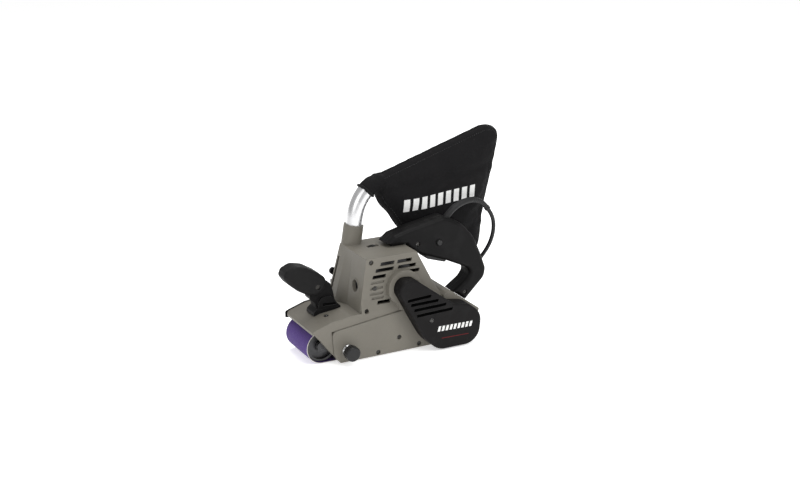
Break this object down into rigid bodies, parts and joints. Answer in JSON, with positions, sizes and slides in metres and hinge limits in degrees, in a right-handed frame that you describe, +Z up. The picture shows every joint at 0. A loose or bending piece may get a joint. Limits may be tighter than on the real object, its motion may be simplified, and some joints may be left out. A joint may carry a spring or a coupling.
{
  "type": "belt sander",
  "caption": "Handheld belt sander with D-shaped rear handle, tilting front grip, side drive cover, fabric dust bag on a swivelling tube, and a power cord.",
  "frame": {"origin": "centre of the sanding belt's flat underside, midway between the roller axles", "axes": "+X towards the rear handle, -Y towards the drive belt cover (the operator's left), +Z up from the work surface"},
  "size_m": [0.3902, 0.2812, 0.3062],
  "materials": {
    "housing_grey": "moulded, fine satin texture",
    "black_plastic": "moulded, matt black",
    "abrasive_belt": "purple grit on cloth backing",
    "aluminium_tube": "drawn tube, satin",
    "bright_steel": "machined and zinc plated",
    "dark_steel": "black oxide",
    "copper": "enamelled copper",
    "brass": "drawn brass",
    "graphite": "graphite, matt",
    "rubber": "moulded rubber",
    "bag_fabric": "woven black polyester",
    "cord_rubber": "smooth black rubber",
    "tie_fabric": "hook and loop strap"
  },
  "bodies": {
    "frame": {"base_frame": "housing_grey", "main_housing": "housing_grey", "fan_housing": "housing_grey", "rear_hood": "housing_grey", "drive_belt_cover": "black_plastic", "rear_handle_left": "black_plastic", "rear_handle_right": "black_plastic", "front_handle_base": "black_plastic", "fan_case_knob": "black_plastic", "side_trim": "black_plastic", "brush_cap": "black_plastic", "power_switch": "black_plastic", "speed_control": "black_plastic", "sanding_belt": "abrasive_belt", "bearing_plate": "aluminium_tube", "tension_spring": "bright_steel", "drive_bearings": "bright_steel", "platen_shoe": "bright_steel", "knob_spring_ring": "bright_steel", "motor_bearings": "bright_steel", "field_core": "bright_steel", "case_screws": "dark_steel", "front_pivot_bolt": "dark_steel", "field_windings": "copper", "brush_holders": "brass", "carbon_brushes": "graphite", "platen_pad": "graphite", "drive_belt": "rubber", "cord_sleeve": "cord_rubber", "power_cord": "cord_rubber", "cord_coil": "cord_rubber", "plug": "cord_rubber", "coil_tie": "tie_fabric"},
    "drive_roller": {"drive_roller": "aluminium_tube", "drive_roller_sleeve": "rubber", "drive_shaft": "bright_steel", "driven_pulley": "aluminium_tube"},
    "countershaft": {"countershaft": "bright_steel", "reduction_gear": "bright_steel", "motor_pulley": "aluminium_tube"},
    "armature": {"armature_shaft": "bright_steel", "armature_core": "bright_steel", "armature_windings": "copper", "commutator": "copper", "dust_fan": "black_plastic"},
    "tension_carriage": {"tension_carriage": "bright_steel", "yoke_pivot_pin": "bright_steel"},
    "roller_yoke": {"roller_yoke": "bright_steel", "front_axle": "bright_steel"},
    "front_roller": {"front_roller": "aluminium_tube"},
    "belt_release_lever": {"belt_release_lever": "bright_steel"},
    "tracking_knob": {"tracking_knob": "black_plastic", "tracking_screw": "bright_steel"},
    "trigger": {"trigger": "black_plastic"},
    "lock_button": {"lock_button": "black_plastic"},
    "speed_dial": {"speed_dial": "black_plastic"},
    "front_handle": {"front_handle": "black_plastic"},
    "dust_outlet": {"dust_tube": "aluminium_tube", "dust_bag": "bag_fabric", "bag_neck_clip": "bright_steel"}
  },
  "joints": [
    {"name": "armature_spin", "type": "hinge", "parent": "frame", "child": "armature", "pos_m": [0, 0, 0.107], "axis": [0, 1, 0], "continuous": true},
    {"name": "countershaft_spin", "type": "hinge", "parent": "frame", "child": "countershaft", "pos_m": [0.02685, 0, 0.10418], "axis": [0, 1, 0], "continuous": true},
    {"name": "drive_roller_spin", "type": "hinge", "parent": "frame", "child": "drive_roller", "pos_m": [0.09439, 0, 0.0253], "axis": [0, 1, 0], "continuous": true},
    {"name": "front_roller_spin", "type": "hinge", "parent": "roller_yoke", "child": "front_roller", "pos_m": [-0.09439, 0, 0.0253], "axis": [0, 1, 0], "continuous": true},
    {"name": "belt_release", "type": "hinge", "parent": "frame", "child": "belt_release_lever", "pos_m": [-0.028, 0.031, 0.0253], "axis": [0, 0, 1], "range_deg": [0, 75]},
    {"name": "belt_tension_slide", "type": "slide", "parent": "frame", "child": "tension_carriage", "axis": [1, 0, 0], "range_m": [0, 0.006], "deforming": ["tension_spring"]},
    {"name": "tracking_knob_turn", "type": "hinge", "parent": "frame", "child": "tracking_knob", "pos_m": [-0.0615, -0.05, 0.0205], "axis": [0, 1, 0], "range_deg": [-200, 200]},
    {"name": "yoke_tilt", "type": "hinge", "parent": "tension_carriage", "child": "roller_yoke", "pos_m": [-0.06, 0, 0.0253], "axis": [0, 0, 1], "range_deg": [-1, 1]},
    {"name": "trigger_pull", "type": "slide", "parent": "frame", "child": "trigger", "axis": [0.342, 0, 0.9397], "range_m": [0, 0.004], "stiffness_N_per_m": 600},
    {"name": "lock_button_press", "type": "slide", "parent": "frame", "child": "lock_button", "axis": [0, 1, 0], "range_m": [0, 0.0022], "stiffness_N_per_m": 400},
    {"name": "speed_dial_turn", "type": "hinge", "parent": "frame", "child": "speed_dial", "pos_m": [0.01, 0.004, 0.1447], "axis": [0, 1, 0], "range_deg": [-140, 140]},
    {"name": "front_handle_tilt", "type": "hinge", "parent": "frame", "child": "front_handle", "pos_m": [-0.089, 0, 0.11], "axis": [0, 1, 0], "range_deg": [-25, 30]},
    {"name": "dust_outlet_swivel", "type": "hinge", "parent": "frame", "child": "dust_outlet", "pos_m": [-0.0115, 0.034, 0.15], "axis": [0.1599, 0, 0.9871], "range_deg": [0, 90]}
  ],
  "couplings": [
    {"joint": "countershaft_spin", "follows": "armature_spin", "ratio": -0.33333},
    {"joint": "drive_roller_spin", "follows": "armature_spin", "ratio": -0.14262},
    {"joint": "front_roller_spin", "follows": "armature_spin", "ratio": -0.14262},
    {"joint": "belt_release", "follows": "belt_tension_slide", "rad_per_m": 218.17},
    {"joint": "yoke_tilt", "follows": "tracking_knob_turn", "ratio": 0.005}
  ]
}
